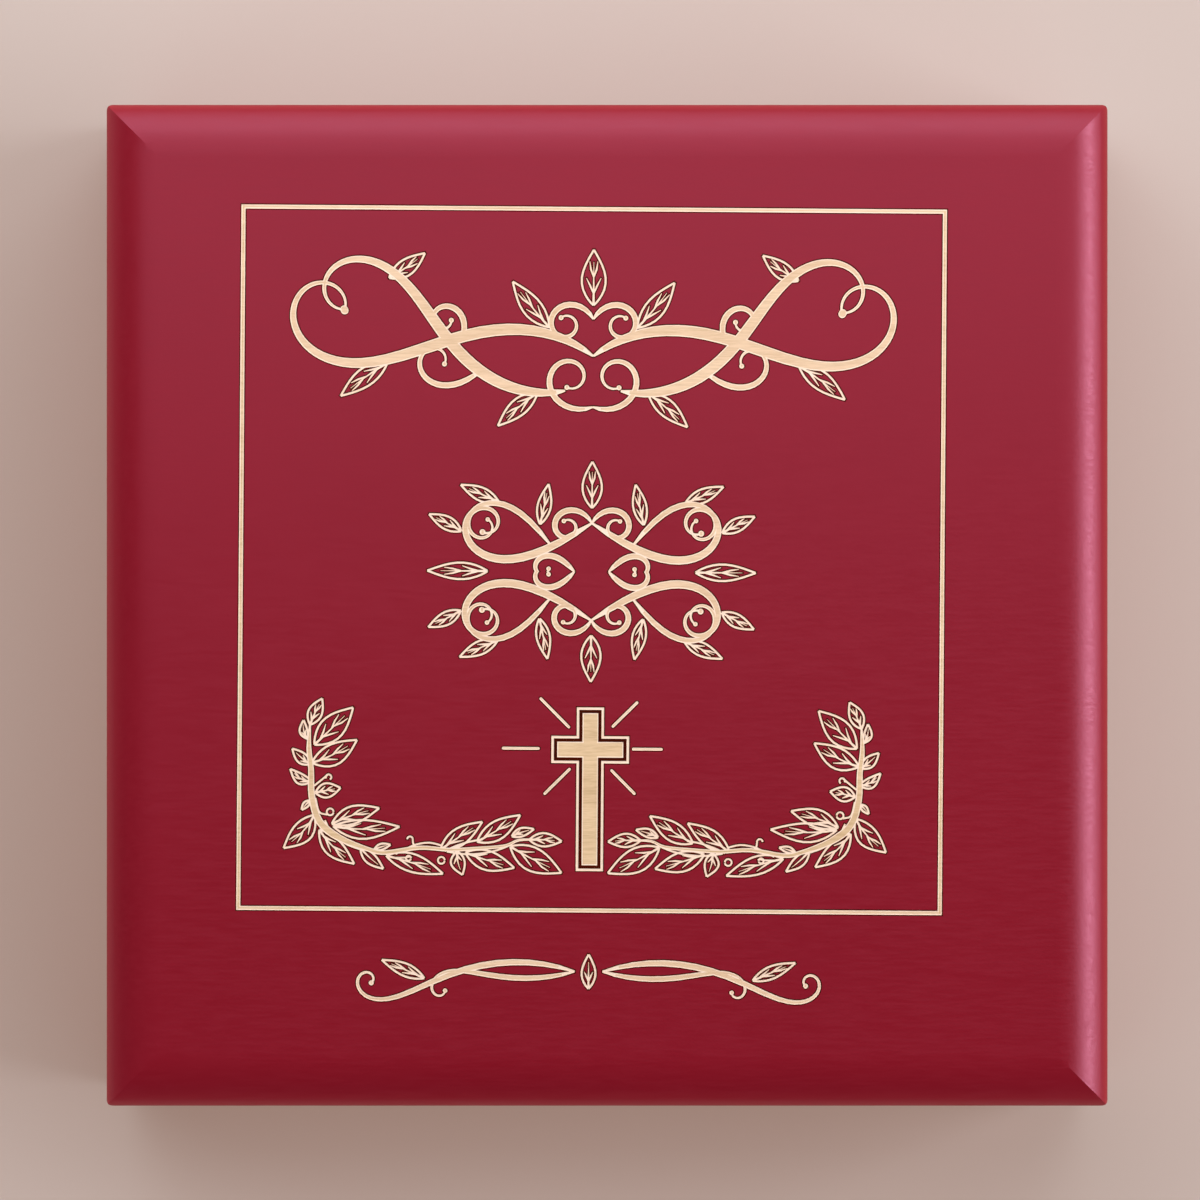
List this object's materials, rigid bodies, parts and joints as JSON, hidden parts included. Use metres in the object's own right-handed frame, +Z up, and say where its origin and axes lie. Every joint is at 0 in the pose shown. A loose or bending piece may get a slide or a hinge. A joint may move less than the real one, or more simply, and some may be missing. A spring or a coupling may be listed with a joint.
{
  "type": "wooden keepsake box",
  "caption": "Square lacquered wooden keepsake box with a hinged lid, bevelled and engraved on top, lined with felt and hung on recessed brass butt hinges.",
  "frame": {"origin": "centre of the footprint, on the surface the box stands on", "axes": "+Z up, -Y towards the front of the box, +Y towards its hinges, +X to the right seen from the front"},
  "size_m": [0.216, 0.216, 0.0643],
  "materials": {
    "lacquered_wood": "satin",
    "plain_wood": "matte",
    "lining_felt": "matte",
    "foot_felt": "matte",
    "brass": "satin"
  },
  "bodies": {
    "base": {"front_wall": "lacquered_wood", "right_wall": "lacquered_wood", "back_wall": "lacquered_wood", "left_wall": "lacquered_wood", "bottom_panel": "plain_wood", "floor_felt": "lining_felt", "front_left_foot": "foot_felt", "front_right_foot": "foot_felt", "back_right_foot": "foot_felt", "back_left_foot": "foot_felt", "left_hinge_wall_leaf": "brass", "left_hinge_pin": "brass", "left_hinge_wall_screws": "brass", "right_hinge_wall_leaf": "brass", "right_hinge_pin": "brass", "right_hinge_wall_screws": "brass"},
    "lid": {"lid_panel": "lacquered_wood", "left_hinge_lid_leaf": "brass", "left_hinge_lid_screws": "brass", "right_hinge_lid_leaf": "brass", "right_hinge_lid_screws": "brass"}
  },
  "joints": [
    {"name": "lid_hinge", "type": "hinge", "parent": "base", "child": "lid", "pos_m": [0, 0.1055, 0.04815], "axis": [-1, 0, 0], "range_deg": [0, 100]}
  ]
}
